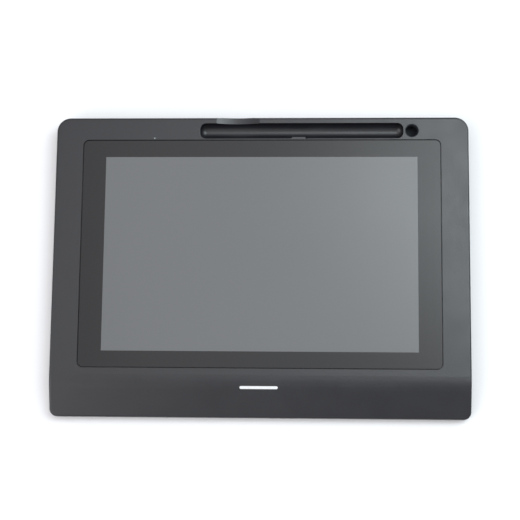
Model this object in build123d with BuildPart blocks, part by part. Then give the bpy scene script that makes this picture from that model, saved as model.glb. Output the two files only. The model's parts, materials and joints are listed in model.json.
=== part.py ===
from build123d import *
import math
import os

# Pen display for handwritten signatures: a 10.1 inch screen behind a flush cover glass, in a two-part
# plastic case with a pen tray, a pen well, a sloping palm rest and two fold-out legs underneath.
# Millimetres. Origin at the middle of the footprint on the table, +X to the user's right,
# +Y to the rear edge with the pen tray, +Z up out of the screen.

os.makedirs("parts", exist_ok=True)

# ---------------------------------------------------------------- driving dimensions: screen
active_width = 216.96
active_depth = 135.6
border_side = 15.9
border_rear = 11.9
border_front = 11.2
glass_thickness = 1.1
glass_corner_radius = 3.6
glass_chamfer = 0.15
glass_gap = 0.55
print_thickness = 0.1
print_inset = 0.3
gasket_thickness = 0.5
gasket_inset = 0.8
gasket_corner_radius = 1.0

# ---------------------------------------------------------------- driving dimensions: case
side_band = 19.6
palm_rest_depth = 33.7
rear_rim = 4.2
tray_to_glass = 1.5
rear_corner_radius = 9.6
front_corner_radius = 5.2
top_edge_radius = 1.5
bottom_edge_radius = 2.4
side_wall = 2.2
top_wall = 2.0
floor_thickness = 1.8
parting_height = 3.0
parting_chamfer = 0.25
lip_thickness = 0.95
lip_height = 1.2
lip_clearance = 0.05
slope_reach = 28.9
slope_angle = 15.5
slope_blend_radius = 37.5
ledge_thickness = 1.5
ledge_wall = 1.6

# ---------------------------------------------------------------- driving dimensions: pen tray and well
tray_width = 10.7
tray_length = 141.4
tray_depth = 7.0
tray_centre_x = 28.0
tray_end_radius = 4.0
tray_wall = 1.5
tray_edge_radius = 0.3
well_diameter = 9.6
well_depth = 10.5
well_wall = 1.5
well_floor = 1.3
well_clearance = 0.2
liner_thickness = 0.5
liner_recess = 0.4
well_to_tray = 1.3
scoop_width = 30.2
scoop_depth = 2.4
scoop_from_tray_end = 26.4
catch_length = 10.0
catch_ramp = 1.2
catch_proud = 0.85
catch_height = 1.8
catch_offset = -2.1
catch_slit = 1.6

# ---------------------------------------------------------------- driving dimensions: screen module
frame_sheet = 0.3
module_margin_side = 4.92
module_margin_rear = 4.2
module_margin_front = 6.2
module_clearance = 1.0
frame_window_margin = 1.0
cell_thickness = 1.1
cell_clearance = 0.1
films_thickness = 0.3
guide_thickness = 1.0
reflector_thickness = 0.2
tray_sheet = 0.4
tray_sheet_wall = 0.3
sheet_fit = 0.05
film_fit = 0.1
led_bar_depth = 1.8
led_strip_thickness = 0.2
led_count = 28
led_length = 3.0
led_thickness = 0.8
led_height = 0.6
sensor_thickness = 0.8
sensor_margin = 4.0
shield_thickness = 0.3
flex_thickness = 0.2
flex_window_width = 22.0
flex_window_depth = 16.0

# ---------------------------------------------------------------- driving dimensions: main board
board_standoff = 1.6
board_thickness = 1.6
tallest_component = 2.6
component_clearance = 0.1
board_rear_gap = 0.5
board_depth = 81.0
board_tongue_depth = 21.0
board_main_width = 94.0
board_edge_to_led = 5.0
board_to_tray = 1.5
standoff_diameter = 5.0
board_pilot_diameter = 1.7
board_screw_length = 3.8
board_screw_inset = 4.0
board_screw_head = 3.4
board_screw_head_height = 1.1

# ---------------------------------------------------------------- driving dimensions: legs and feet
foot_height = 2.0
foot_drop = 1.2
foot_diameter = 11.0
foot_clearance = 0.1
foot_side_inset = 19.0
foot_rear_inset = 10.0
foot_front_inset = 16.0
leg_length = 48.0
leg_width = 30.0
leg_thickness = 4.0
leg_recess = 0.2
leg_side_gap = 0.5
leg_tip_gap = 1.0
leg_swing_gap = 2.8
leg_pad_thickness = 1.6
leg_panel_depth = 1.0
leg_panel_margin = 4.0
leg_panel_radius = 2.0
leg_pad_radius = 1.0
pocket_headroom = 0.3
pocket_wall = 2.0
pocket_ceiling = 1.2
pocket_side_inset = 12.0
leg_axis_from_rear = 24.5
pin_diameter = 2.0
pin_clearance = 0.06
notch_width = 16.0
notch_depth = 8.0

# ---------------------------------------------------------------- driving dimensions: fasteners
case_boss_diameter = 7.0
case_boss_inset = 8.2
case_boss_rear_inset = 14.5
case_boss_front_inset = 34.5
palm_boss_inset = 12.5
palm_boss_spread = 50.0
case_screw_diameter = 2.3
case_screw_length = 6.0
case_screw_head = 4.4
case_screw_head_height = 1.7
case_screw_clearance = 0.3
head_recess_depth = 2.3
head_recess_clearance = 0.3
cover_boss_height = 1.9
boss_gap = 0.05
pilot_extra = 0.5
cross_width = 0.7
cross_depth = 0.8
bracket_thickness = 0.8
bracket_width = 8.0
bracket_reach = 9.0
bracket_boss_diameter = 4.8
bracket_boss_inset = 4.2
bracket_spacing = 50.0
bracket_pilot_diameter = 1.6
bracket_screw_length = 3.6
bracket_screw_head = 3.4
bracket_screw_head_height = 0.8
bracket_screw_gap = 0.4

# ---------------------------------------------------------------- driving dimensions: controls and ports
light_pipe_diameter = 1.1
light_pipe_clearance = 0.05
light_pipe_collar = 2.6
light_pipe_gap = 0.5
led_to_tray = 32.0
led_to_glass = 1.6
button_length = 10.0
button_height = 3.0
button_clearance = 0.15
button_flange = 0.6
button_flange_thickness = 1.0
button_recess = 0.1
button_gap = 0.12
button_lift = 1.6
button_travel = 0.5
stem_diameter = 2.4
switch_width = 6.0
switch_depth = 3.6
switch_height = 3.2
plunger_diameter = 1.8
plunger_reach = 1.1
plunger_fit = 0.1
plunger_seat = 1.2
usb_width = 8.94
usb_height = 3.26
usb_length = 7.3
usb_wall = 0.3
usb_from_tray = 13.7
usb_recess_width = 12.8
usb_recess_height = 6.6
usb_recess_depth = 1.2
usb_clearance = 0.12
tongue_width = 6.7
tongue_thickness = 0.7
tongue_length = 5.0
lock_slot_length = 7.0
lock_slot_height = 3.0
lock_from_rear = 40.0
lock_plate_length = 16.0
lock_plate_height = 5.2
lock_plate_thickness = 1.2
lock_plate_lift = 0.3

# ---------------------------------------------------------------- driving dimensions: mark and underside
mark_width = 26.0
mark_height = 2.0
mark_thickness = 0.3
mark_from_front = 20.4
label_width = 78.0
label_depth = 42.0
label_thickness = 0.15
label_recess = 0.2
label_clearance = 0.3
label_corner_radius = 2.0
label_from_centre = 48.0
vent_count = 11
vent_pitch = 5.5
vent_length = 26.0
vent_width = 1.6
rib_thickness = 1.0
rib_height = 1.6
rib_pitch = 20.0

# ---------------------------------------------------------------- places worked out from the above
glass_width = active_width + 2 * border_side
glass_depth = active_depth + border_rear + border_front
body_width = glass_width + 2 * side_band
body_depth = palm_rest_depth + glass_depth + tray_to_glass + tray_width + rear_rim
half_width = body_width / 2
rear_y = body_depth / 2
front_y = -body_depth / 2
glass_rear_y = rear_y - rear_rim - tray_width - tray_to_glass
glass_y = glass_rear_y - glass_depth / 2
active_y = glass_rear_y - border_rear - active_depth / 2
tray_y = rear_y - rear_rim - tray_width / 2
tray_left = tray_centre_x - tray_length / 2
tray_right = tray_centre_x + tray_length / 2
well_x = tray_right + well_to_tray + well_diameter / 2
scoop_x = tray_left + scoop_from_tray_end
led_x = tray_left - led_to_tray
led_y = glass_rear_y + led_to_glass
usb_x = tray_left - usb_from_tray

base_z = foot_drop
floor_z = base_z + floor_thickness
parting_z = base_z + parting_height
leg_low_z = base_z + leg_recess
leg_axis_z = leg_low_z + leg_thickness / 2
pocket_top_z = leg_low_z + leg_thickness + pocket_headroom
pocket_roof_z = pocket_top_z + pocket_ceiling
board_z = floor_z + board_standoff
board_top_z = board_z + board_thickness
bracket_screw_stack = bracket_screw_gap + bracket_screw_head_height + bracket_thickness
shield_z = max(
    board_top_z + tallest_component + component_clearance,
    pocket_roof_z + bracket_screw_stack,
)
sensor_z = shield_z + shield_thickness
module_z = sensor_z + sensor_thickness
reflector_z = module_z + tray_sheet
guide_z = reflector_z + reflector_thickness
films_z = guide_z + guide_thickness
cell_z = films_z + films_thickness
ledge_z = cell_z + cell_thickness + frame_sheet
print_z = ledge_z + gasket_thickness
glass_z = print_z + print_thickness
top_z = glass_z + glass_thickness

module_width = active_width + 2 * module_margin_side
module_depth = active_depth + module_margin_rear + module_margin_front
module_y = active_y + (module_margin_rear - module_margin_front) / 2
window_width = module_width + 2 * module_clearance
window_depth = module_depth + 2 * module_clearance

pocket_width = leg_width + 2 * leg_side_gap
pocket_x = half_width - pocket_side_inset - pocket_width / 2
leg_axis_y = rear_y - leg_axis_from_rear
pocket_rear_y = leg_axis_y + leg_swing_gap
pocket_front_y = leg_axis_y - leg_length - leg_tip_gap
leg_tip_y = leg_axis_y - leg_length
leg_span = pocket_width + 2 * pocket_wall

cover_boss_z = floor_z + cover_boss_height
head_seat_z = base_z + head_recess_depth
button_z = board_top_z + button_lift
usb_z = board_top_z + usb_height / 2
lock_y = rear_y - lock_from_rear
lock_z = parting_z + lip_height + lock_plate_lift + lock_plate_height / 2
board_left = led_x - board_edge_to_led
board_right = tray_left - tray_wall - board_to_tray
flange_rear_y = rear_y - side_wall - button_gap
flange_front_y = flange_rear_y - button_flange_thickness
board_rear_y = flange_front_y - button_travel - board_rear_gap
board_front_y = board_rear_y - board_depth
board_main_rear_y = board_rear_y - board_tongue_depth
board_main_right = board_left + board_main_width

boss_rear_y = rear_y - case_boss_rear_inset
boss_front_y = front_y + case_boss_front_inset
side_boss_places = [
    (side * (half_width - case_boss_inset), y)
    for side in (-1, 1)
    for y in (boss_rear_y, (boss_rear_y + boss_front_y) / 2, boss_front_y)
]
palm_boss_places = [(side * palm_boss_spread, front_y + palm_boss_inset) for side in (-1, 1)]
case_boss_places = side_boss_places + palm_boss_places
foot_places = [
    (side * (half_width - foot_side_inset), y)
    for side in (-1, 1)
    for y in (rear_y - foot_rear_inset, front_y + foot_front_inset)
]
bracket_x = window_width / 2 + bracket_boss_inset
bracket_places = [
    (side * bracket_x, module_y + step * bracket_spacing) for side in (-1, 1) for step in (-1, 0, 1)
]
board_screw_places = [
    (board_left + board_screw_inset, board_front_y + board_screw_inset),
    (board_main_right - board_screw_inset, board_front_y + board_screw_inset),
    (board_main_right - board_screw_inset, board_main_rear_y - board_screw_inset),
    (board_left + board_screw_inset, board_main_rear_y - board_screw_inset),
    (board_right - board_screw_inset, board_rear_y - board_tongue_depth / 2),
]


# ---------------------------------------------------------------- shared shapes
def save(piece, name):
    """Labels a finished piece and writes it as one STEP file."""
    piece.label = name
    export_step(piece, f"parts/{name}.step")


def top_surface_z(y):
    """Height of the case's top face at y: flat, then rolling over into the palm slope."""
    past = front_y + slope_reach - y
    roll = slope_blend_radius * math.sin(math.radians(slope_angle))
    if past <= 0:
        return top_z
    if past <= roll:
        return top_z - slope_blend_radius + math.sqrt(slope_blend_radius**2 - past**2)
    roll_drop = slope_blend_radius * (1 - math.cos(math.radians(slope_angle)))
    return top_z - roll_drop - (past - roll) * math.tan(math.radians(slope_angle))


def case_outline(inset, level):
    """Plan outline of the case on the plane at level, moved inwards by inset."""
    with BuildSketch(Plane.XY.offset(level), mode=Mode.PRIVATE) as outline:
        Rectangle(body_width - 2 * inset, body_depth - 2 * inset)
        fillet(outline.vertices().group_by(Axis.Y)[-1], rear_corner_radius - inset)
        fillet(outline.vertices().group_by(Axis.Y)[0], front_corner_radius - inset)
    return outline.sketch


def case_block(inset, drop, bottom):
    """The case's form above bottom, moved in by inset at the sides and down by drop at the top."""
    roll_y = front_y + slope_reach
    with BuildPart() as block:
        add(case_outline(inset, bottom))
        extrude(amount=top_z - drop - bottom)
        with BuildSketch(Plane.YZ.offset(-half_width)):
            with BuildLine():
                flat = Line((rear_y, top_z - drop), (roll_y, top_z - drop))
                roll = JernArc(flat @ 1, flat % 1, slope_blend_radius - drop, slope_angle)
                run = ((roll @ 1).X - front_y) / math.cos(math.radians(slope_angle))
                slope = PolarLine(roll @ 1, run, 180 + slope_angle)
                Polyline(slope @ 1, (front_y, bottom), (rear_y, bottom), flat @ 0)
            make_face()
        extrude(amount=body_width, mode=Mode.INTERSECT)
    return block.part


def plate(width, depth, centre, bottom, thickness, radius=0):
    """A flat plate standing on the level bottom, with corners rounded by radius."""
    with BuildPart() as sheet:
        with BuildSketch(Plane.XY.offset(bottom)):
            with Locations(centre):
                if radius:
                    RectangleRounded(width, depth, radius)
                else:
                    Rectangle(width, depth)
        extrude(amount=thickness)
    return sheet.part


def ring_plate(outer, inner, bottom, thickness, radius):
    """A flat frame: outer and inner are (width, depth, middle y), radius rounds the outer corners."""
    with BuildPart() as ring:
        with BuildSketch(Plane.XY.offset(bottom)):
            with Locations((0, outer[2])):
                RectangleRounded(outer[0], outer[1], radius)
            with Locations((0, inner[2])):
                Rectangle(inner[0], inner[1], mode=Mode.SUBTRACT)
        extrude(amount=thickness)
    return ring.part


def screws(places, seat, head, head_height, shank, length, turn):
    """Cross-recess screws whose heads seat at seat: turn is 0 with the tips up and 180 with them down."""
    reach = 0.6 * head
    stand = (Align.CENTER, Align.CENTER, Align.MIN)
    with BuildPart() as group:
        for x, y in places:
            head_seat = Location((x, y, seat), (turn, 0, 0))
            with Locations(head_seat):
                Cylinder(shank / 2, length, align=stand)
                Cylinder(head / 2, head_height, align=(Align.CENTER, Align.CENTER, Align.MAX))
            with Locations(head_seat * Location((0, 0, -head_height))):
                Box(reach, cross_width, cross_depth, align=stand, mode=Mode.SUBTRACT)
                Box(cross_width, reach, cross_depth, align=stand, mode=Mode.SUBTRACT)
    return group.part


def ribbon(x, width, corners, radii):
    """A flat cable of one width whose middle line runs through corners, given as (y, z)."""
    with BuildPart() as cable:
        with BuildLine() as route:
            FilletPolyline(*[(x, y, z) for y, z in corners], radius=radii)
        with BuildSketch(Plane(route.line @ 0, x_dir=(1, 0, 0), z_dir=route.line % 0)):
            Rectangle(width, flex_thickness)
        sweep()
    return cable.part


# ---------------------------------------------------------------- front housing
housing_outer = case_block(0, 0, parting_z)
housing_inner = case_block(side_wall, top_wall, parting_z)
scoop_radius = ((scoop_width / 2) ** 2 + scoop_depth**2) / (2 * scoop_depth)
mark_y = front_y + mark_from_front
mark_tilt = math.asin(min(1, (slope_reach - mark_from_front) / slope_blend_radius))
mark_plane = Plane(
    (0, mark_y, top_surface_z(mark_y)),
    x_dir=(1, 0, 0),
    z_dir=(0, -math.sin(mark_tilt), math.cos(mark_tilt)),
)

with BuildPart() as tray_hollow:
    with BuildSketch(Plane.YZ.offset(tray_left)):
        with Locations((tray_y, top_z - tray_depth + tray_width / 2)):
            Circle(tray_width / 2)
        with Locations((tray_y, top_z)):
            Rectangle(tray_width, tray_depth - tray_width / 2, align=(Align.CENTER, Align.MAX))
    extrude(amount=tray_length)
    tray_ends = tray_hollow.faces().sort_by(Axis.X)
    end_edges = tray_ends[0].edges() + tray_ends[-1].edges()
    fillet(end_edges.filter_by(lambda e: e.center().Z < top_z - 0.01), tray_end_radius)

with BuildPart() as front_mark:
    with BuildSketch(mark_plane):
        SlotOverall(mark_width, mark_height)
    extrude(amount=-mark_thickness)
save(front_mark.part, "front_mark")

with BuildPart() as front_housing:
    add(housing_outer)
    walls = front_housing.faces().filter_by(lambda f: abs(f.normal_at().Z) < 0.01)
    upper = front_housing.faces().filter_by(lambda f: f.normal_at().Z > 0.5)
    fillet(walls.edges() & upper.edges(), top_edge_radius)
    chamfer(front_housing.faces().sort_by(Axis.Z)[0].edges(), parting_chamfer)
    add(housing_inner, mode=Mode.SUBTRACT)

    # ledge that carries the cover glass, hanging under the top wall
    with BuildSketch(Plane.XY.offset(ledge_z - ledge_thickness)):
        with Locations((0, glass_y)):
            reach = 2 * (glass_gap + ledge_wall)
            RectangleRounded(glass_width + reach, glass_depth + reach, glass_corner_radius + ledge_wall)
    extrude(amount=top_z - top_wall / 2 - ledge_z + ledge_thickness)

    # solid rear rim and tray trough
    with BuildSketch(Plane.XY.offset(top_z - tray_depth - tray_wall)):
        trough_rear = rear_y - side_wall / 2
        trough_front = tray_y - tray_width / 2 - tray_wall
        with Locations((tray_centre_x, (trough_rear + trough_front) / 2)):
            Rectangle(tray_length + 2 * tray_wall, trough_rear - trough_front)
    extrude(amount=tray_depth + tray_wall - top_wall / 2)

    # tube of the pen well
    with BuildSketch(Plane.XY.offset(top_z - well_depth - well_floor)):
        with Locations((well_x, tray_y)):
            Circle(well_diameter / 2 + well_wall)
    extrude(amount=well_depth + well_floor - top_wall / 2)

    # bosses for the case screws, each up into the top wall above it
    for x, y in case_boss_places:
        foot_of_boss = cover_boss_z + boss_gap
        with BuildSketch(Plane.XY.offset(foot_of_boss)):
            with Locations((x, y)):
                Circle(case_boss_diameter / 2)
        extrude(amount=top_surface_z(y) - top_wall / 2 - foot_of_boss)

    # bosses for the screen brackets
    with BuildSketch(Plane.XY.offset(shield_z)):
        with Locations(*bracket_places):
            Circle(bracket_boss_diameter / 2)
    extrude(amount=ledge_z - ledge_thickness / 2 - shield_z)

    # glass pocket and screen window
    with BuildSketch(Plane.XY.offset(ledge_z)):
        with Locations((0, glass_y)):
            RectangleRounded(
                glass_width + 2 * glass_gap, glass_depth + 2 * glass_gap, glass_corner_radius + glass_gap
            )
    extrude(amount=top_z - ledge_z, mode=Mode.SUBTRACT)
    with Locations((0, module_y, ledge_z - ledge_thickness / 2)):
        Box(window_width, window_depth, 3 * ledge_thickness, mode=Mode.SUBTRACT)

    # rounded trough of the tray
    add(tray_hollow.part, mode=Mode.SUBTRACT)
    tray_mouth = front_housing.faces().filter_by(Plane.XY).sort_by(Axis.Z)[-1].edges()
    tray_mouth = tray_mouth.filter_by(
        lambda e: abs(e.center().Y - tray_y) <= tray_width / 2 + 0.01
        and tray_left - 0.01 <= e.center().X <= tray_right + 0.01
    )
    fillet(tray_mouth, tray_edge_radius)

    # pen well
    with Locations((well_x, tray_y, top_z)):
        Cylinder(
            well_diameter / 2,
            well_depth,
            align=(Align.CENTER, Align.CENTER, Align.MAX),
            mode=Mode.SUBTRACT,
        )

    # finger scoop across the rear rim
    with Locations(
        Location((scoop_x, rear_y, top_z - scoop_depth + scoop_radius), (90, 0, 0)),
    ):
        Cylinder(scoop_radius, 2 * rear_rim + tray_width, mode=Mode.SUBTRACT)

    # pen catch on the tray's front wall, with the slit that frees its end
    catch_x = tray_centre_x + catch_offset
    tray_front_y = tray_y - tray_width / 2
    with BuildSketch(Plane.XY.offset(top_z - catch_height)):
        with BuildLine():
            Polyline(
                (catch_x - catch_length / 2, tray_front_y - tray_edge_radius),
                (catch_x + catch_length / 2, tray_front_y - tray_edge_radius),
                (catch_x + catch_length / 2, tray_front_y + catch_proud),
                (catch_x - catch_length / 2 + catch_ramp, tray_front_y + catch_proud),
                (catch_x - catch_length / 2, tray_front_y),
                close=True,
            )
        make_face()
    extrude(amount=catch_height)
    with Locations(
        (
            catch_x + catch_length / 2 + catch_slit / 2,
            tray_front_y - tray_edge_radius / 2,
            top_z - catch_height / 2,
        )
    ):
        Box(catch_slit, 2 * tray_edge_radius, catch_height, mode=Mode.SUBTRACT)

    # pilot holes
    with Locations(*[(x, y, cover_boss_z) for x, y in case_boss_places]):
        Cylinder(
            case_screw_diameter / 2,
            head_seat_z + case_screw_length + pilot_extra - cover_boss_z,
            align=(Align.CENTER, Align.CENTER, Align.MIN),
            mode=Mode.SUBTRACT,
        )
    with Locations(*[(x, y, shield_z) for x, y in bracket_places]):
        Cylinder(
            bracket_pilot_diameter / 2,
            bracket_screw_length - bracket_thickness + pilot_extra / 2,
            align=(Align.CENTER, Align.CENTER, Align.MIN),
            mode=Mode.SUBTRACT,
        )

    # seat of the mark on the palm slope
    add(front_mark.part, mode=Mode.SUBTRACT)

    # light pipe hole, straight through the top wall and the ledge behind it
    with Locations((led_x, led_y, top_z)):
        Cylinder(
            light_pipe_diameter / 2 + light_pipe_clearance,
            4 * top_wall,
            mode=Mode.SUBTRACT,
        )

    # openings in the rear wall for the power button and the cable socket
    with BuildSketch(Plane.XZ.offset(-rear_y)):
        with Locations((led_x, button_z)):
            SlotOverall(button_length + 2 * button_clearance, button_height + 2 * button_clearance)
        with Locations((usb_x, usb_z)):
            SlotOverall(usb_width + 2 * usb_clearance, usb_height + 2 * usb_clearance)
    extrude(amount=2 * side_wall, mode=Mode.SUBTRACT)
    with BuildSketch(Plane.XZ.offset(-rear_y)):
        with Locations((usb_x, usb_z)):
            SlotOverall(usb_recess_width, usb_recess_height)
    extrude(amount=usb_recess_depth, mode=Mode.SUBTRACT)

    # security slot in the right-hand wall
    with Locations((half_width, lock_y, lock_z)):
        Box(4 * side_wall, lock_slot_length, lock_slot_height, mode=Mode.SUBTRACT)
save(front_housing.part, "front_housing")

# ---------------------------------------------------------------- rubber cup in the pen well
with BuildPart() as well_liner:
    with Locations((well_x, tray_y, top_z - well_depth)):
        Cylinder(well_diameter / 2, well_depth - liner_recess, align=(Align.CENTER, Align.CENTER, Align.MIN))
    with Locations((well_x, tray_y, top_z - well_depth + liner_thickness)):
        Cylinder(
            well_diameter / 2 - liner_thickness,
            well_depth,
            align=(Align.CENTER, Align.CENTER, Align.MIN),
            mode=Mode.SUBTRACT,
        )
save(well_liner.part, "well_liner")

# ---------------------------------------------------------------- rear cover
cover_inset = side_wall + lip_clearance + lip_thickness
with BuildPart() as rear_cover:
    add(case_outline(0, base_z))
    extrude(amount=parting_height)
    fillet(rear_cover.faces().sort_by(Axis.Z)[0].edges(), bottom_edge_radius)
    chamfer(rear_cover.faces().sort_by(Axis.Z)[-1].edges(), parting_chamfer)
    add(case_outline(side_wall + lip_clearance, parting_z - lip_height))
    extrude(amount=2 * lip_height)
    add(case_outline(cover_inset, floor_z))
    extrude(amount=parting_height + lip_height, mode=Mode.SUBTRACT)
    with Locations((well_x, tray_y, floor_z)):
        Cylinder(
            well_diameter / 2 + well_wall + well_clearance,
            parting_height + lip_height,
            align=(Align.CENTER, Align.CENTER, Align.MIN),
            mode=Mode.SUBTRACT,
        )

    # boxes of the leg pockets, screw bosses, board standoffs and stiffening ribs
    pocket_middle = (pocket_rear_y + pocket_front_y) / 2
    with BuildSketch(Plane.XY.offset(floor_z)):
        with Locations((-pocket_x, pocket_middle), (pocket_x, pocket_middle)):
            Rectangle(pocket_width + 2 * pocket_wall, pocket_rear_y - pocket_front_y + 2 * pocket_wall)
        with Locations(*[(side * pocket_x, pocket_front_y) for side in (-1, 1)]):
            Rectangle(notch_width + 2 * pocket_wall, 2 * (notch_depth + pocket_wall))
    extrude(amount=pocket_roof_z - floor_z)
    with BuildSketch(Plane.XY.offset(floor_z)):
        with Locations(*case_boss_places):
            Circle(case_boss_diameter / 2)
    extrude(amount=cover_boss_height)
    with BuildSketch(Plane.XY.offset(floor_z)):
        with Locations(*board_screw_places):
            Circle(standoff_diameter / 2)
    extrude(amount=board_standoff)
    rib_length = 2 * (half_width - case_boss_inset - case_boss_diameter)
    with BuildSketch(Plane.XY.offset(floor_z)):
        for step in range(4):
            with Locations((0, front_y + case_boss_front_inset + step * rib_pitch)):
                Rectangle(rib_length, rib_thickness)
    extrude(amount=rib_height)

    # leg pockets with their finger notches, open below
    with BuildSketch(Plane.XY.offset(base_z)):
        with Locations((-pocket_x, pocket_middle), (pocket_x, pocket_middle)):
            Rectangle(pocket_width, pocket_rear_y - pocket_front_y)
        with Locations(*[(side * pocket_x, pocket_front_y) for side in (-1, 1)]):
            Rectangle(notch_width, 2 * notch_depth)
    extrude(amount=pocket_top_z - base_z, mode=Mode.SUBTRACT)
    for side in (-1, 1):
        with Locations(Location((side * pocket_x, leg_axis_y, leg_axis_z), (0, 90, 0))):
            Cylinder(pin_diameter / 2, leg_span, mode=Mode.SUBTRACT)

    # screw holes, countersunk from below for the case and from above for the board
    with Locations(*[(x, y, head_seat_z) for x, y in case_boss_places]):
        Cylinder(
            case_screw_diameter / 2 + case_screw_clearance,
            2 * parting_height,
            mode=Mode.SUBTRACT,
        )
        Cylinder(
            case_screw_head / 2 + head_recess_clearance,
            2 * head_recess_depth,
            align=(Align.CENTER, Align.CENTER, Align.MAX),
            mode=Mode.SUBTRACT,
        )
    with Locations(*[(x, y, board_z) for x, y in board_screw_places]):
        Cylinder(
            board_pilot_diameter / 2,
            board_screw_length - board_thickness + pilot_extra / 2,
            align=(Align.CENTER, Align.CENTER, Align.MAX),
            mode=Mode.SUBTRACT,
        )

    # seats of the rubber feet and the rating label, and the vents under the main board
    with BuildSketch(Plane.XY.offset(base_z)):
        with Locations(*foot_places):
            Circle(foot_diameter / 2 + foot_clearance)
    extrude(amount=foot_height - foot_drop, mode=Mode.SUBTRACT)
    with BuildSketch(Plane.XY.offset(base_z)):
        with Locations((label_from_centre, active_y)):
            RectangleRounded(
                label_width + 2 * label_clearance,
                label_depth + 2 * label_clearance,
                label_corner_radius,
            )
    extrude(amount=label_recess, mode=Mode.SUBTRACT)
    vent_x = (board_left + board_main_right) / 2
    vent_y = (board_front_y + board_main_rear_y) / 2
    with BuildSketch(Plane.XY.offset(base_z)):
        with Locations((vent_x, vent_y)):
            with GridLocations(vent_pitch, vent_length, vent_count, 1):
                SlotOverall(vent_length, vent_width, rotation=90)
    extrude(amount=floor_thickness, mode=Mode.SUBTRACT)
save(rear_cover.part, "rear_cover")

# ---------------------------------------------------------------- cover glass and what bonds it
with BuildPart() as cover_glass:
    with BuildSketch(Plane.XY.offset(glass_z)):
        with Locations((0, glass_y)):
            RectangleRounded(glass_width, glass_depth, glass_corner_radius)
    extrude(amount=glass_thickness)
    chamfer(cover_glass.faces().sort_by(Axis.Z)[-1].edges(), glass_chamfer)
save(cover_glass.part, "cover_glass")

border_print = ring_plate(
    (glass_width - 2 * print_inset, glass_depth - 2 * print_inset, glass_y),
    (active_width, active_depth, active_y),
    print_z,
    print_thickness,
    glass_corner_radius,
)
save(border_print, "border_print")

glass_adhesive = ring_plate(
    (glass_width - 2 * gasket_inset, glass_depth - 2 * gasket_inset, glass_y),
    (window_width + gasket_inset, window_depth + gasket_inset, module_y),
    ledge_z,
    gasket_thickness,
    glass_corner_radius,
)
save(glass_adhesive, "glass_adhesive")

dust_gasket = ring_plate(
    (module_width - gasket_inset, module_depth - gasket_inset, module_y),
    (active_width + 4 * frame_window_margin, active_depth + 4 * frame_window_margin, active_y),
    ledge_z,
    gasket_thickness,
    gasket_corner_radius,
)
save(dust_gasket, "dust_gasket")

# ---------------------------------------------------------------- screen module
flex_x = (board_left + board_main_right) / 2 + 17.0
flex_slot_margin = 1.0
lcd_flex_width = 22.0
backlight_flex_width = 6.0
flex_gap = 4.0
backlight_flex_x = flex_x - lcd_flex_width / 2 - flex_gap - backlight_flex_width / 2
module_front_y = module_y - module_depth / 2
cell_front_y = module_front_y + frame_sheet + cell_clearance

with BuildPart() as lcd_frame:
    with Locations((0, module_y, (module_z + ledge_z) / 2)):
        Box(module_width, module_depth, ledge_z - module_z)
    with Locations((0, module_y, (module_z + ledge_z) / 2 - frame_sheet)):
        Box(
            module_width - 2 * frame_sheet,
            module_depth - 2 * frame_sheet,
            ledge_z - module_z,
            mode=Mode.SUBTRACT,
        )
    with Locations((0, active_y, ledge_z)):
        Box(
            active_width + 2 * frame_window_margin,
            active_depth + 2 * frame_window_margin,
            4 * frame_sheet,
            mode=Mode.SUBTRACT,
        )
    for x, width in ((flex_x, lcd_flex_width), (backlight_flex_x, backlight_flex_width)):
        with Locations((x, module_front_y, (module_z + ledge_z) / 2 - frame_sheet)):
            Box(width + 2 * flex_slot_margin, 4 * frame_sheet, ledge_z - module_z, mode=Mode.SUBTRACT)
save(lcd_frame.part, "lcd_frame")

cell_inset = frame_sheet + cell_clearance
with BuildPart() as lcd_cell:
    with Locations((0, module_y, cell_z + cell_thickness / 2)):
        Box(module_width - 2 * cell_inset, module_depth - 2 * cell_inset, cell_thickness)
save(lcd_cell.part, "lcd_cell")

tray_inset = frame_sheet + sheet_fit
with BuildPart() as backlight_tray:
    with Locations((0, module_y, (module_z + films_z) / 2)):
        Box(module_width - 2 * tray_inset, module_depth - 2 * tray_inset, films_z - module_z)
    with Locations((0, module_y, (reflector_z + films_z) / 2 + tray_sheet)):
        Box(
            module_width - 2 * (tray_inset + tray_sheet_wall),
            module_depth - 2 * (tray_inset + tray_sheet_wall),
            films_z - reflector_z + 2 * tray_sheet,
            mode=Mode.SUBTRACT,
        )
    with Locations((backlight_flex_x, module_front_y, films_z)):
        Box(
            backlight_flex_width + 2 * flex_slot_margin,
            4 * (tray_inset + tray_sheet_wall),
            2 * (films_z - reflector_z),
            mode=Mode.SUBTRACT,
        )
save(backlight_tray.part, "backlight_tray")

film_inset = tray_inset + tray_sheet_wall + film_fit
film_width = module_width - 2 * film_inset
film_depth = module_depth - 2 * film_inset
film_front_y = module_y - film_depth / 2
save(
    plate(film_width, film_depth, (0, module_y), reflector_z, reflector_thickness),
    "reflector_sheet",
)
save(
    plate(
        film_width,
        film_depth - led_bar_depth,
        (0, module_y + led_bar_depth / 2),
        guide_z,
        guide_thickness,
    ),
    "light_guide",
)
save(plate(film_width, film_depth, (0, module_y), films_z, films_thickness), "diffuser_films")

led_strip_depth = led_bar_depth - film_fit
save(
    plate(
        film_width,
        led_strip_depth,
        (0, film_front_y + led_strip_depth / 2),
        guide_z,
        led_strip_thickness,
    ),
    "backlight_strip",
)

with BuildPart() as backlight_leds:
    led_row_y = film_front_y + led_strip_depth - led_thickness / 2
    with Locations((0, led_row_y, guide_z + led_strip_thickness + led_height / 2)):
        with GridLocations(film_width / led_count, 1, led_count, 1):
            Box(led_length, led_thickness, led_height)
save(backlight_leds.part, "backlight_leds")

sensor_width = active_width + 2 * sensor_margin
sensor_depth = active_depth + 2 * sensor_margin
save(
    plate(sensor_width, sensor_depth, (0, active_y), sensor_z, sensor_thickness),
    "pen_sensor_board",
)

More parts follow.
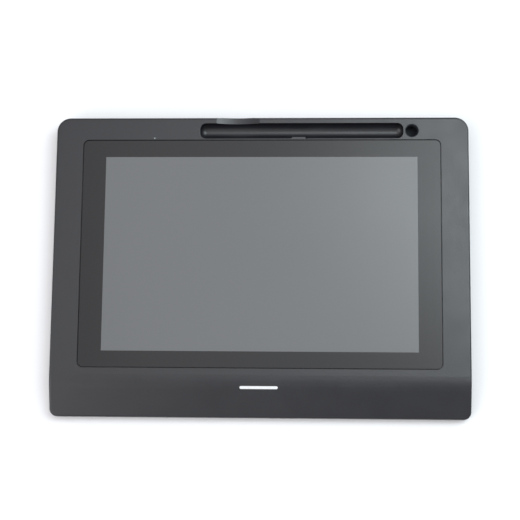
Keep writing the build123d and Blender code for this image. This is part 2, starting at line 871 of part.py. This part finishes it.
sensor_flex_x = board_left + 24.0
sensor_flex_width = 16.0
zif_depth = 4.6
zif_height = 2.0
sensor_zif_y = board_front_y + 14.0
flex_window_y = sensor_zif_y + zif_depth / 2 + flex_window_depth / 2 + 1.0
with BuildPart() as shield_plate:
    with Locations((0, active_y, shield_z + shield_thickness / 2)):
        Box(sensor_width, sensor_depth, shield_thickness)
    with Locations((sensor_flex_x, flex_window_y, shield_z)):
        Box(flex_window_width, flex_window_depth, 4 * shield_thickness, mode=Mode.SUBTRACT)
save(shield_plate.part, "shield_plate")

# ---------------------------------------------------------------- brackets that hold the module up
with BuildPart() as panel_brackets:
    with BuildSketch(Plane.XY.offset(shield_z - bracket_thickness)):
        for x, y in bracket_places:
            side = math.copysign(1, x)
            outer = bracket_x + bracket_boss_diameter / 2
            inner = active_width / 2 + sensor_margin - bracket_reach
            with Locations((side * (outer + inner) / 2, y)):
                RectangleRounded(outer - inner, bracket_width, 1.5)
        with Locations(*bracket_places):
            Circle(bracket_pilot_diameter / 2 + sheet_fit, mode=Mode.SUBTRACT)
    extrude(amount=bracket_thickness)
save(panel_brackets.part, "panel_brackets")

bracket_screws = screws(
    bracket_places,
    shield_z - bracket_thickness,
    bracket_screw_head,
    bracket_screw_head_height,
    bracket_pilot_diameter,
    bracket_screw_length,
    0,
)
save(bracket_screws, "bracket_screws")

# ---------------------------------------------------------------- main board and what is soldered on it
with BuildPart() as main_board:
    with BuildSketch(Plane.XY.offset(board_z)):
        with BuildLine():
            Polyline(
                (board_left, board_front_y),
                (board_main_right, board_front_y),
                (board_main_right, board_main_rear_y),
                (board_right, board_main_rear_y),
                (board_right, board_rear_y),
                (board_left, board_rear_y),
                close=True,
            )
        make_face()
        with Locations(*board_screw_places):
            Circle(board_pilot_diameter / 2 + sheet_fit, mode=Mode.SUBTRACT)
    extrude(amount=board_thickness)
save(main_board.part, "main_board")

chips = (
    ("display_controller", (board_left + 62.0, board_front_y + 38.0), (14.0, 14.0, 1.4)),
    ("memory_chip", (board_left + 82.0, board_front_y + 38.0), (9.0, 12.0, 1.1)),
    ("pen_controller", (board_left + 40.0, board_front_y + 42.0), (9.0, 9.0, 1.0)),
    ("power_inductor", (board_left + 12.0, board_front_y + 52.0), (6.5, 6.5, 2.4)),
    ("clock_crystal", (board_left + 40.0, board_front_y + 54.0), (5.0, 3.2, 1.0)),
)
for chip_name, (x, y), (width, depth, height) in chips:
    with BuildPart() as chip:
        with Locations((x, y, board_top_z + height / 2)):
            Box(width, depth, height)
        chamfer(chip.faces().sort_by(Axis.Z)[-1].edges(), 0.2)
    save(chip.part, chip_name)

with BuildPart() as board_passives:
    with Locations((board_left + 12.0, board_front_y + 34.0, board_top_z + 0.4)):
        with GridLocations(4.0, 3.2, 3, 5):
            Box(2.0, 1.2, 0.8)
    with Locations((board_left + 62.0, board_front_y + 52.0, board_top_z + 0.4)):
        with GridLocations(3.5, 3.0, 8, 2):
            Box(1.6, 0.9, 0.8)
save(board_passives.part, "board_passives")

lcd_zif_y = board_front_y + zif_depth / 2 + 1.5
zif_margin = 3.0
with BuildPart() as flex_connectors:
    for x, y, width in (
        (flex_x, lcd_zif_y, lcd_flex_width),
        (backlight_flex_x, lcd_zif_y, backlight_flex_width),
        (sensor_flex_x, sensor_zif_y, sensor_flex_width),
    ):
        mouth = 1 if y == sensor_zif_y else -1
        with Locations((x, y, board_top_z + zif_height / 2)):
            Box(width + zif_margin, zif_depth, zif_height)
        with Locations((x, y + mouth * zif_depth / 2, board_top_z + zif_height / 2)):
            Box(width + 0.4, zif_depth, 0.5, mode=Mode.SUBTRACT)
save(flex_connectors.part, "flex_connectors")

board_screws = screws(
    board_screw_places,
    board_top_z,
    board_screw_head,
    board_screw_head_height,
    board_pilot_diameter,
    board_screw_length,
    180,
)
save(board_screws, "board_screws")

# ---------------------------------------------------------------- flat cables
zif_mouth_z = board_top_z + zif_height / 2
flex_turn_y = module_front_y - module_clearance / 2
flex_run_z = shield_z - flex_thickness
flex_fall = [
    (lcd_zif_y - zif_depth - 6.0, flex_run_z),
    (lcd_zif_y - zif_depth - 1.0, zif_mouth_z),
    (lcd_zif_y - 0.2, zif_mouth_z),
]
flex_bends = (0.3, 0.4, 1.5, 1.5)
for flex_name, x, width, start_y, start_z in (
    ("lcd_flex", flex_x, lcd_flex_width, cell_front_y, cell_z + cell_thickness / 2),
    ("backlight_flex", backlight_flex_x, backlight_flex_width, film_front_y, guide_z + flex_thickness / 2),
):
    wrap = [(start_y, start_z), (flex_turn_y, start_z), (flex_turn_y, flex_run_z)]
    save(ribbon(x, width, wrap + flex_fall, flex_bends), flex_name)

sensor_flex = ribbon(
    sensor_flex_x,
    sensor_flex_width,
    [
        (flex_window_y + flex_window_depth / 2 - 1.0, sensor_z - flex_thickness / 2),
        (flex_window_y + 1.0, sensor_z - flex_thickness / 2),
        (flex_window_y - flex_window_depth / 2 + 2.0, zif_mouth_z),
        (sensor_zif_y + 0.2, zif_mouth_z),
    ],
    (1.5, 1.5),
)
save(sensor_flex, "sensor_flex")

# ---------------------------------------------------------------- status light
status_led_height = 0.6
with BuildPart() as status_led:
    with Locations((led_x, led_y, board_top_z + status_led_height / 2)):
        Box(1.6, 0.8, status_led_height)
save(status_led.part, "status_led")

with BuildPart() as light_pipe:
    with Locations((led_x, led_y, top_z)):
        Cylinder(
            light_pipe_diameter / 2,
            top_z - ledge_z + ledge_thickness,
            align=(Align.CENTER, Align.CENTER, Align.MAX),
        )
    pipe_foot_z = board_top_z + status_led_height + light_pipe_gap
    with Locations((led_x, led_y, pipe_foot_z)):
        Cylinder(
            light_pipe_collar / 2,
            ledge_z - ledge_thickness - pipe_foot_z,
            align=(Align.CENTER, Align.CENTER, Align.MIN),
        )
save(light_pipe.part, "light_pipe")

# ---------------------------------------------------------------- power button and its switch
button_face_y = rear_y - button_recess
switch_rear_y = board_rear_y - plunger_reach - 0.6
with BuildPart() as power_button:
    with BuildSketch(Plane.XZ.offset(-button_face_y)):
        with Locations((led_x, button_z)):
            SlotOverall(button_length, button_height)
    extrude(amount=button_face_y - flange_rear_y)
    fillet(power_button.faces().sort_by(Axis.Y)[-1].edges(), 0.4)
    with BuildSketch(Plane.XZ.offset(-flange_rear_y)):
        with Locations((led_x, button_z)):
            SlotOverall(button_length + 2 * button_flange, button_height + 2 * button_flange)
    extrude(amount=button_flange_thickness)
    with BuildSketch(Plane.XZ.offset(-flange_front_y)):
        with Locations((led_x, button_z)):
            Circle(stem_diameter / 2)
    extrude(amount=flange_front_y - switch_rear_y - plunger_reach)
save(power_button.part, "power_button")

with BuildPart() as switch_plunger:
    with BuildSketch(Plane.XZ.offset(-(switch_rear_y + plunger_reach))):
        with Locations((led_x, button_z)):
            Circle(plunger_diameter / 2)
    extrude(amount=plunger_reach + plunger_seat - button_travel - plunger_fit)
save(switch_plunger.part, "switch_plunger")

with BuildPart() as tact_switch:
    with Locations((led_x, switch_rear_y - switch_depth / 2, board_top_z + switch_height / 2)):
        Box(switch_width, switch_depth, switch_height)
    chamfer(tact_switch.faces().sort_by(Axis.Z)[-1].edges(), 0.3)
    with BuildSketch(Plane.XZ.offset(-switch_rear_y)):
        with Locations((led_x, button_z)):
            Circle(plunger_diameter / 2 + plunger_fit)
    extrude(amount=plunger_seat, mode=Mode.SUBTRACT)
save(tact_switch.part, "tact_switch")

# ---------------------------------------------------------------- cable socket
usb_mouth_y = rear_y - usb_recess_depth
with BuildPart() as usb_shell:
    with BuildSketch(Plane.XZ.offset(-usb_mouth_y)):
        with Locations((usb_x, usb_z)):
            SlotOverall(usb_width, usb_height)
    extrude(amount=usb_length)
    with BuildSketch(Plane.XZ.offset(-usb_mouth_y)):
        with Locations((usb_x, usb_z)):
            SlotOverall(usb_width - 2 * usb_wall, usb_height - 2 * usb_wall)
    extrude(amount=usb_length - usb_wall, mode=Mode.SUBTRACT)
save(usb_shell.part, "usb_shell")

tongue_root_y = usb_mouth_y - usb_length + usb_wall
usb_tongue = plate(
    tongue_width,
    tongue_length,
    (usb_x, tongue_root_y + tongue_length / 2),
    usb_z - tongue_thickness / 2,
    tongue_thickness,
)
save(usb_tongue, "usb_tongue")

# ---------------------------------------------------------------- security slot's steel plate
lock_plate_x = half_width - side_wall
with BuildPart() as lock_plate:
    with Locations((lock_plate_x - lock_plate_thickness / 2, lock_y, lock_z)):
        Box(lock_plate_thickness, lock_plate_length, lock_plate_height)
        Box(2 * lock_plate_thickness, lock_slot_length, lock_slot_height, mode=Mode.SUBTRACT)
save(lock_plate.part, "lock_plate")

# ---------------------------------------------------------------- case screws, feet and label
case_screws = screws(
    case_boss_places,
    head_seat_z,
    case_screw_head,
    case_screw_head_height,
    case_screw_diameter,
    case_screw_length,
    0,
)
save(case_screws, "case_screws")

for (foot_x, foot_y), foot_name in zip(
    foot_places, ("rear_left", "front_left", "rear_right", "front_right")
):
    with BuildPart() as rubber_foot:
        with Locations((foot_x, foot_y, 0)):
            Cylinder(foot_diameter / 2, foot_height, align=(Align.CENTER, Align.CENTER, Align.MIN))
        fillet(rubber_foot.faces().sort_by(Axis.Z)[0].edges(), 0.5)
    save(rubber_foot.part, f"foot_{foot_name}")

rating_label = plate(
    label_width,
    label_depth,
    (label_from_centre, active_y),
    base_z + label_recess - label_thickness,
    label_thickness,
    label_corner_radius,
)
save(rating_label, "rating_label")

# ---------------------------------------------------------------- fold-out legs
for side, side_name in ((-1, "left"), (1, "right")):
    leg_x = side * pocket_x
    hinge = Location((leg_x, leg_axis_y, leg_axis_z), (0, 90, 0))
    with BuildPart() as stand_leg:
        with BuildSketch(Plane.XY.offset(leg_low_z)):
            with Locations((leg_x, (leg_axis_y + leg_tip_y + leg_pad_thickness) / 2)):
                Rectangle(leg_width, leg_length - leg_pad_thickness)
        extrude(amount=leg_thickness)
        with Locations(hinge):
            Cylinder(leg_thickness / 2, leg_width)
            Cylinder(pin_diameter / 2 + pin_clearance, 2 * leg_width, mode=Mode.SUBTRACT)
        with BuildSketch(Plane.XY.offset(leg_low_z)):
            with Locations((leg_x, leg_axis_y - leg_length / 2)):
                RectangleRounded(
                    leg_width - 2 * leg_panel_margin,
                    leg_length - 4 * leg_panel_margin,
                    leg_panel_radius,
                )
        extrude(amount=leg_panel_depth, mode=Mode.SUBTRACT)
    save(stand_leg.part, f"stand_leg_{side_name}")

    with BuildPart() as leg_pad:
        with BuildSketch(Plane.XY.offset(leg_low_z)):
            with Locations((leg_x, leg_tip_y + leg_pad_thickness / 2)):
                Rectangle(leg_width, leg_pad_thickness)
        extrude(amount=leg_thickness)
        fillet(leg_pad.edges().filter_by(Axis.X).group_by(Axis.Y)[0], leg_pad_radius)
    save(leg_pad.part, f"leg_pad_{side_name}")

    with BuildPart() as leg_pin:
        with Locations(hinge):
            Cylinder(pin_diameter / 2, leg_span)
    save(leg_pin.part, f"leg_pin_{side_name}")
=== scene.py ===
import json
import math

import bpy
from mathutils import Matrix, Vector

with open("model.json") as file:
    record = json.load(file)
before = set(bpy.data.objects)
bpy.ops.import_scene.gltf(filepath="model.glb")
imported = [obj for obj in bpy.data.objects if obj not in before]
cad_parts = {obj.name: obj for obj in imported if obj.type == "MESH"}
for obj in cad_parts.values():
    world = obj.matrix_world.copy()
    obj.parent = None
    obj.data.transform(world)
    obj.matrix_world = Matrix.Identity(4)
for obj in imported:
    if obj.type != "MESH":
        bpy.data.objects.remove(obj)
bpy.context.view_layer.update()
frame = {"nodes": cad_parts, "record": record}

scene = bpy.context.scene
MM = 0.001

# The camera: lens, sensor and clipping as Blender has them, places in metres, roll in degrees.
LENS_MM, SENSOR_MM = 90.6, 36.0
NEAR_CLIP, FAR_CLIP = 0.01, 20.0
CAMERA_PLACE = Vector((0.0455, -0.1320, 0.9043))
CAMERA_AIM = Vector((0.0001, 0.0035, 0.0150))
CAMERA_ROLL = 0.62

# The studio: an even surround, a table top and square softboxes that face the origin.
SURROUND_COLOUR = (0.955, 0.955, 1.0, 1.0)
SURROUND_STRENGTH = 0.54
TABLE_REACH = 4.0
COOL, NEUTRAL = (0.86, 0.975, 1.0), (1.0, 0.985, 1.0)
SOFTBOXES = (
    # name, place, side in metres, power in watts, colour
    ("key_softbox", (0.42, 0.38, 1.53), 0.55, 2.95, COOL),
    ("right_softbox", (0.62, 0.42, 1.25), 0.6, 1.7, COOL),
    ("near_softbox", (0.60, 0.10, 1.20), 0.6, 1.5, COOL),
    ("low_softbox", (0.85, 0.35, 0.95), 0.8, 4.7, COOL),
    ("top_softbox", (0.0, 0.35, 1.70), 1.0, 3.2, NEUTRAL),
    ("left_softbox", (-1.2, -0.5, 1.4), 1.5, 10.6, NEUTRAL),
    ("front_softbox", (-0.9, -0.9, 0.9), 0.9, 1.6, NEUTRAL),
)

# Noise keeps mostly between these two values, so they are stretched over a whole tone or sheen.
NOISE_LOW, NOISE_HIGH = 0.3, 0.7
PICTURE_POINT = 0.1695 * MM
COPPER_PITCH = 0.5 * MM
STEEL, ALUMINIUM, TIN = (0.60, 0.61, 0.62), (0.75, 0.76, 0.77), (0.70, 0.70, 0.69)


# ---------------------------------------------------------------- camera, light and table
def make_camera():
    """A long lens almost straight above, standing a little towards the front and the right."""
    data = bpy.data.cameras.new("camera")
    data.lens, data.sensor_width = LENS_MM, SENSOR_MM
    data.clip_start, data.clip_end = NEAR_CLIP, FAR_CLIP
    camera = bpy.data.objects.new("camera", data)
    scene.collection.objects.link(camera)
    look = (CAMERA_AIM - CAMERA_PLACE).normalized()
    side = look.cross(Vector((0, 1, 0))).normalized()
    turn = Matrix((side, side.cross(look), -look)).transposed().to_4x4()
    roll = Matrix.Rotation(math.radians(CAMERA_ROLL), 4, "Z")
    camera.matrix_world = Matrix.Translation(CAMERA_PLACE) @ turn @ roll
    scene.camera = camera


def soft_light(name, place, size, power, colour):
    """A square softbox at place that faces the origin."""
    data = bpy.data.lights.new(name, "AREA")
    data.shape, data.size = "SQUARE", size
    data.energy, data.color = power, colour
    lamp = bpy.data.objects.new(name, data)
    lamp.location = place
    lamp.rotation_mode = "QUATERNION"
    lamp.rotation_quaternion = (-Vector(place)).to_track_quat("-Z", "Y")
    scene.collection.objects.link(lamp)


def make_light():
    """The even surround, the softboxes and a plain view of their tones."""
    world = bpy.data.worlds.new("surround")
    scene.world = world
    world.use_nodes = True
    background = world.node_tree.nodes["Background"]
    background.inputs["Color"].default_value = SURROUND_COLOUR
    background.inputs["Strength"].default_value = SURROUND_STRENGTH
    for softbox in SOFTBOXES:
        soft_light(*softbox)
    scene.view_settings.view_transform = "Standard"


def make_table():
    """A wide white table top under the feet."""
    mesh = bpy.data.meshes.new("table_top")
    corners = [Vector((x * TABLE_REACH, y * TABLE_REACH, 0)) for x, y in ((-1, -1), (1, -1), (1, 1), (-1, 1))]
    mesh.from_pydata(corners, [], [(0, 1, 2, 3)])
    floor = bpy.data.objects.new("table_top", mesh)
    scene.collection.objects.link(floor)
    floor.data.materials.append(table_material())


# ---------------------------------------------------------------- node helpers
class Shader:
    """A material's node tree with one Principled shader, and short ways to add what feeds it."""

    def __init__(self, name, roughness=0.5, specular=0.5, metallic=0.0):
        self.material = bpy.data.materials.new(name)
        self.material.use_nodes = True
        self.tree = self.material.node_tree
        self.shader = self.tree.nodes["Principled BSDF"]
        self.shader.inputs["Roughness"].default_value = roughness
        self.shader.inputs["Specular IOR Level"].default_value = specular
        self.shader.inputs["Metallic"].default_value = metallic
        self.place = self.add("ShaderNodeTexCoord").outputs["Object"]

    def add(self, kind, **values):
        """A new node of that kind, with its properties set."""
        node = self.tree.nodes.new(kind)
        for key, value in values.items():
            setattr(node, key, value)
        return node

    def feed(self, socket, value):
        """Links value to socket if it is an output, and otherwise sets it there."""
        if hasattr(value, "is_output"):
            self.tree.links.new(value, socket)
        else:
            socket.default_value = value

    def stretched(self, x, y, z):
        """Object coordinates multiplied by x, y and z."""
        mapping = self.add("ShaderNodeMapping")
        self.feed(mapping.inputs["Scale"], (x, y, z))
        self.feed(mapping.inputs["Vector"], self.place)
        return mapping.outputs["Vector"]

    def split(self):
        """The x, y and z of the place on the object."""
        node = self.add("ShaderNodeSeparateXYZ")
        self.feed(node.inputs["Vector"], self.place)
        return node.outputs

    def noise(self, scale, detail=2.0, rough=0.5, vector=None):
        """Soft cloudy noise, with scale features to the metre."""
        node = self.add("ShaderNodeTexNoise")
        for key, value in (("Scale", scale), ("Detail", detail), ("Roughness", rough)):
            self.feed(node.inputs[key], value)
        self.feed(node.inputs["Vector"], vector or self.place)
        return node.outputs["Fac"]

    def cells(self, scale):
        """The distance to the nearest of many scattered points, scale of them to the metre."""
        node = self.add("ShaderNodeTexVoronoi")
        self.feed(node.inputs["Scale"], scale)
        self.feed(node.inputs["Vector"], self.place)
        return node.outputs["Distance"]

    def spread(self, source, low, high, from_low=NOISE_LOW, from_high=NOISE_HIGH):
        """source mapped from one range of numbers to low and high, and held at its ends."""
        node = self.add("ShaderNodeMapRange")
        limits = (("From Min", from_low), ("From Max", from_high), ("To Min", low), ("To Max", high))
        for key, value in (*limits, ("Value", source)):
            self.feed(node.inputs[key], value)
        return node.outputs["Result"]

    def blend(self, factor, first, second):
        """A colour between first and second. Each may be a colour or a socket."""
        node = self.add("ShaderNodeMix", data_type="RGBA")
        self.feed(node.inputs["Factor"], factor)
        for socket, value in ((node.inputs[6], first), (node.inputs[7], second)):
            self.feed(socket, value if hasattr(value, "is_output") else (*value, 1.0))
        return node.outputs[2]

    def maths(self, operation, first, second=0.0):
        """One step of arithmetic. Each value may be a number or a socket."""
        node = self.add("ShaderNodeMath", operation=operation)
        self.feed(node.inputs[0], first)
        self.feed(node.inputs[1], second)
        return node.outputs["Value"]

    def waves(self, distance, pitch):
        """A sine between -1 and 1 with one wave for each pitch of the distance."""
        return self.maths("SINE", self.maths("MULTIPLY", distance, 2 * math.pi / pitch))

    def within(self, distance, centre, reach):
        """1 where the distance lies less than reach from centre, and 0 elsewhere."""
        offset = self.maths("ABSOLUTE", self.maths("SUBTRACT", distance, centre))
        return self.maths("LESS_THAN", offset, reach)

    def bump(self, height, depth_mm, strength, below=None):
        """A surface that height raises and lowers, over the relief below if there is one."""
        node = self.add("ShaderNodeBump")
        for key, value in (("Strength", strength), ("Distance", depth_mm * MM), ("Height", height)):
            self.feed(node.inputs[key], value)
        if below:
            self.feed(node.inputs["Normal"], below)
        return node.outputs["Normal"]

    def finish(self, colour, normal, roughness=None):
        """The material, once its colour, relief and sheen are linked."""
        for name, source in (("Base Color", colour), ("Roughness", roughness), ("Normal", normal)):
            if source:
                self.feed(self.shader.inputs[name], source)
        return self.material


def shade(colour, factor):
    """A colour made darker or lighter."""
    return [channel * factor for channel in colour]


# ---------------------------------------------------------------- materials
def table_material():
    """Matt white with a barely visible drift in tone."""
    s = Shader("table_white", roughness=0.6, specular=0.2)
    tone = s.blend(s.noise(scale=3.0, detail=3.0), (0.945, 0.935, 0.935), (0.965, 0.955, 0.955))
    skin = s.bump(s.noise(scale=900.0), depth_mm=0.02, strength=0.2)
    return s.finish(colour=tone, normal=skin)


def moulded_plastic(name, colour, grain, roughness, specular):
    """Moulded plastic: spark-eroded texture grain mm deep, faint flow marks, fine painted glints and an
    uneven sheen.
    """
    s = Shader(name, specular=specular)
    dark, light, glint = (shade(colour, factor) for factor in (0.93, 1.07, 1.6))
    flow = s.spread(s.noise(scale=9.0, detail=3.0, rough=0.55), low=0.0, high=1.0)
    # Painted glints: scattered flecks where the colour is mixed up to 22 percent towards a copy 1.6 times
    # lighter.
    glint_fleck = s.spread(s.cells(scale=2400.0), low=0.0, high=0.22, from_low=0.1, from_high=0.8)
    tone = s.blend(glint_fleck, s.blend(flow, dark, light), glint)
    cloud = s.noise(scale=40.0, detail=4.0, rough=0.6)
    sheen = s.spread(cloud, low=roughness - 0.05, high=roughness + 0.05)
    fine = s.bump(s.cells(scale=1800.0), depth_mm=grain, strength=0.55)
    wavy = s.bump(s.noise(scale=120.0), depth_mm=grain * 1.5, strength=0.12, below=fine)
    return s.finish(colour=tone, roughness=sheen, normal=wavy)


def print_window():
    """The opening in the border print: half its width, its centre along y and half its depth."""
    points = [vertex.co for vertex in frame["nodes"]["border_print"].data.vertices]
    half_width = min(abs(point.x) for point in points)
    sides = [point.y for point in points if abs(abs(point.x) - half_width) < 0.5 * MM]
    return half_width, (max(sides) + min(sides)) / 2, (max(sides) - min(sides)) / 2


def glass_material():
    """Etched glass: it shows the dark print and the paler screen bonded under it, below a soft gloss."""
    s = Shader("etched_glass", specular=0.49)
    half_width, centre, half_depth = print_window()
    x, y, _ = s.split()
    window = s.maths("MULTIPLY", s.within(x, 0.0, half_width), s.within(y, centre, half_depth))
    cloud = s.noise(scale=7.0, detail=3.0)
    printed = s.blend(cloud, (0.0060, 0.0062, 0.0068), (0.0085, 0.0088, 0.0094))
    screen = s.blend(cloud, (0.126, 0.130, 0.132), (0.138, 0.142, 0.144))
    tone = s.blend(window, printed, screen)
    sheen = s.spread(s.noise(scale=18.0, detail=4.0, rough=0.6), low=0.22, high=0.26)
    etch = s.bump(s.noise(scale=160.0, detail=3.0, rough=0.6), depth_mm=0.002, strength=0.3)
    return s.finish(colour=tone, roughness=sheen, normal=etch)


def lcd_material():
    """The switched-off panel: a grey polariser over fine columns and rows of picture points."""
    s = Shader("lcd_panel", specular=0.4)
    x, y, _ = s.split()
    rows = s.maths("MAXIMUM", s.waves(x, PICTURE_POINT), s.waves(y, PICTURE_POINT))
    grid = s.spread(rows, low=0.0, high=1.0, from_low=-1.0, from_high=1.0)
    tone = s.blend(s.noise(scale=7.0, detail=3.0), (0.285, 0.29, 0.295), (0.305, 0.31, 0.315))
    tone = s.blend(s.maths("MULTIPLY", grid, 0.12), tone, (0.21, 0.215, 0.22))
    sheen = s.spread(s.noise(scale=60.0, detail=3.0), low=0.42, high=0.5)
    return s.finish(colour=tone, roughness=sheen, normal=s.bump(grid, depth_mm=0.002, strength=0.2))


def rubber_material(name, dark, light):
    """Matt rubber with a pebbled skin."""
    s = Shader(name, specular=0.3)
    tone = s.blend(s.noise(scale=60.0, detail=5.0), dark, light)
    sheen = s.spread(s.noise(scale=200.0, detail=3.0), low=0.72, high=0.9)
    skin = s.bump(s.cells(scale=1500.0), depth_mm=0.05, strength=0.5)
    return s.finish(colour=tone, roughness=sheen, normal=skin)


def metal_material(name, colour, roughness, stretch=(400.0, 30.0, 400.0)):
    """Rolled or plated sheet, with fine streaks along the axis that is stretched least."""
    s = Shader(name, metallic=1.0)
    streak = s.noise(scale=1.0, detail=4.0, rough=0.6, vector=s.stretched(*stretch))
    tone = s.blend(streak, shade(colour, 0.86), colour)
    sheen = s.spread(streak, low=roughness - 0.07, high=roughness + 0.1)
    return s.finish(colour=tone, roughness=sheen, normal=s.bump(streak, depth_mm=0.01, strength=0.25))


def painted_screw_material():
    """Black zinc on steel, slightly patchy."""
    s = Shader("black_zinc", metallic=0.8)
    patch = s.noise(scale=900.0, detail=4.0)
    tone = s.blend(patch, (0.02, 0.02, 0.022), (0.05, 0.05, 0.055))
    sheen = s.spread(patch, low=0.3, high=0.5)
    return s.finish(colour=tone, roughness=sheen, normal=s.bump(patch, depth_mm=0.01, strength=0.3))


def speckled(name, dark, light, scale, roughness, specular=0.5, depth_mm=0.01):
    """A plain finish with a two-tone fleck, an uneven sheen and a fine skin."""
    s = Shader(name, specular=specular)
    fleck = s.noise(scale=scale, detail=4.0, rough=0.6)
    tone = s.blend(s.spread(fleck, low=0.0, high=1.0, from_low=0.35, from_high=0.65), dark, light)
    cloud = s.noise(scale=scale * 0.4, detail=3.0)
    sheen = s.spread(cloud, low=roughness - 0.06, high=roughness + 0.06)
    return s.finish(colour=tone, roughness=sheen, normal=s.bump(fleck, depth_mm, strength=0.4))


def board_material():
    """Circuit board: solder mask over a lattice of copper tracks."""
    s = Shader("circuit_board", specular=0.6)
    bricks = s.add("ShaderNodeTexBrick", offset=0.37)
    sizes = (("Scale", 260.0), ("Mortar Size", 0.03), ("Brick Width", 1.9), ("Row Height", 0.35))
    for key, value in (*sizes, ("Vector", s.place)):
        s.feed(bricks.inputs[key], value)
    tracks = bricks.outputs["Fac"]
    weave = s.noise(scale=500.0)
    tone = s.blend(tracks, (0.010, 0.070, 0.035), (0.030, 0.150, 0.070))
    tone = s.blend(s.maths("MULTIPLY", weave, 0.25), tone, (0.008, 0.045, 0.025))
    sheen = s.spread(weave, low=0.28, high=0.4)
    return s.finish(colour=tone, roughness=sheen, normal=s.bump(tracks, depth_mm=0.03, strength=0.4))


def polyimide_material():
    """Flat cable: amber film over parallel copper lines."""
    s = Shader("polyimide", specular=0.6)
    lines = s.spread(s.waves(s.split()[0], COPPER_PITCH), low=0.0, high=1.0, from_low=-0.3, from_high=0.3)
    tone = s.blend(lines, (0.42, 0.17, 0.03), (0.60, 0.28, 0.07))
    sheen = s.spread(s.noise(scale=300.0), low=0.25, high=0.4)
    return s.finish(colour=tone, roughness=sheen, normal=s.bump(lines, depth_mm=0.02, strength=0.4))


def label_material():
    """Blank silver-grey film with a fine brushed look."""
    s = Shader("label_film")
    streak = s.noise(scale=1.0, detail=4.0, rough=0.6, vector=s.stretched(60.0, 1500.0, 60.0))
    tone = s.blend(streak, (0.30, 0.305, 0.31), (0.38, 0.385, 0.39))
    sheen = s.spread(streak, low=0.35, high=0.5)
    return s.finish(colour=tone, roughness=sheen, normal=s.bump(streak, depth_mm=0.004, strength=0.3))


# Plain finishes by record slot: dark tone, light tone, fleck scale, roughness, and for some the
# specular level and the depth of the skin in mm.
PLAIN_FINISHES = {
    "border_print": ((0.008, 0.008, 0.009), (0.013, 0.013, 0.014), 700.0, 0.5),
    "foam_tape": ((0.010, 0.010, 0.010), (0.022, 0.022, 0.022), 1200.0, 0.85, 0.2, 0.05),
    "optical_film": ((0.70, 0.71, 0.71), (0.76, 0.77, 0.77), 900.0, 0.45),
    "light_guide": ((0.60, 0.64, 0.66), (0.70, 0.73, 0.75), 1400.0, 0.15),
    "chip_epoxy": ((0.012, 0.012, 0.013), (0.022, 0.022, 0.024), 2500.0, 0.6),
    "ferrite": ((0.030, 0.030, 0.032), (0.050, 0.050, 0.052), 1800.0, 0.7, 0.4, 0.03),
    "passive_ceramic": ((0.26, 0.19, 0.12), (0.34, 0.26, 0.17), 2200.0, 0.4),
    "led_package": ((0.80, 0.76, 0.40), (0.88, 0.86, 0.60), 2500.0, 0.35),
    "connector_nylon": ((0.55, 0.52, 0.45), (0.63, 0.60, 0.53), 1500.0, 0.55),
    "clear_plastic": ((0.20, 0.25, 0.25), (0.26, 0.31, 0.31), 3000.0, 0.22),
    "plunger_plastic": ((0.60, 0.60, 0.57), (0.68, 0.68, 0.65), 2000.0, 0.4),
    "switch_plastic": ((0.010, 0.010, 0.010), (0.018, 0.018, 0.018), 2000.0, 0.5),
    "white_print": ((0.76, 0.76, 0.76), (0.84, 0.84, 0.84), 1600.0, 0.5, 0.4, 0.004),
}


def make_materials():
    """Every material, under the record slot that it is for."""
    case, cover, button = (0.0066, 0.0068, 0.0094), (0.010, 0.010, 0.011), (0.008, 0.008, 0.009)
    made = {
        "case_plastic": moulded_plastic("case_plastic", case, grain=0.05, roughness=0.36, specular=0.72),
        "cover_plastic": moulded_plastic("cover_plastic", cover, grain=0.08, roughness=0.45, specular=0.6),
        "button_plastic": moulded_plastic("button_plastic", button, grain=0.02, roughness=0.32, specular=0.6),
        "cover_glass": glass_material(),
        "lcd_glass": lcd_material(),
        "steel_sheet": metal_material("steel_sheet", STEEL, 0.34),
        "aluminium_sheet": metal_material("aluminium_sheet", ALUMINIUM, 0.3, (30.0, 400.0, 400.0)),
        "plated_steel": metal_material("plated_steel", TIN, 0.26, (200.0, 200.0, 900.0)),
        "circuit_board": board_material(),
        "polyimide": polyimide_material(),
        "screw_black": painted_screw_material(),
        "rubber_foot": rubber_material("rubber_foot", (0.012, 0.012, 0.012), (0.024, 0.023, 0.022)),
        "rubber_liner": rubber_material("rubber_liner", (0.020, 0.023, 0.028), (0.034, 0.038, 0.045)),
        "label_film": label_material(),
    }
    made.update({slot: speckled(slot, *finish) for slot, finish in PLAIN_FINISHES.items()})
    return made


def dress_nodes(materials):
    """Gives every CAD node the material of its record slot."""
    slot_of = {part["node"]: part["material_slot"] for part in frame["record"]["subparts"]}
    for name, node in frame["nodes"].items():
        node.data.materials.clear()
        node.data.materials.append(materials[slot_of[name]])


make_camera()
make_light()
make_table()
dress_nodes(make_materials())
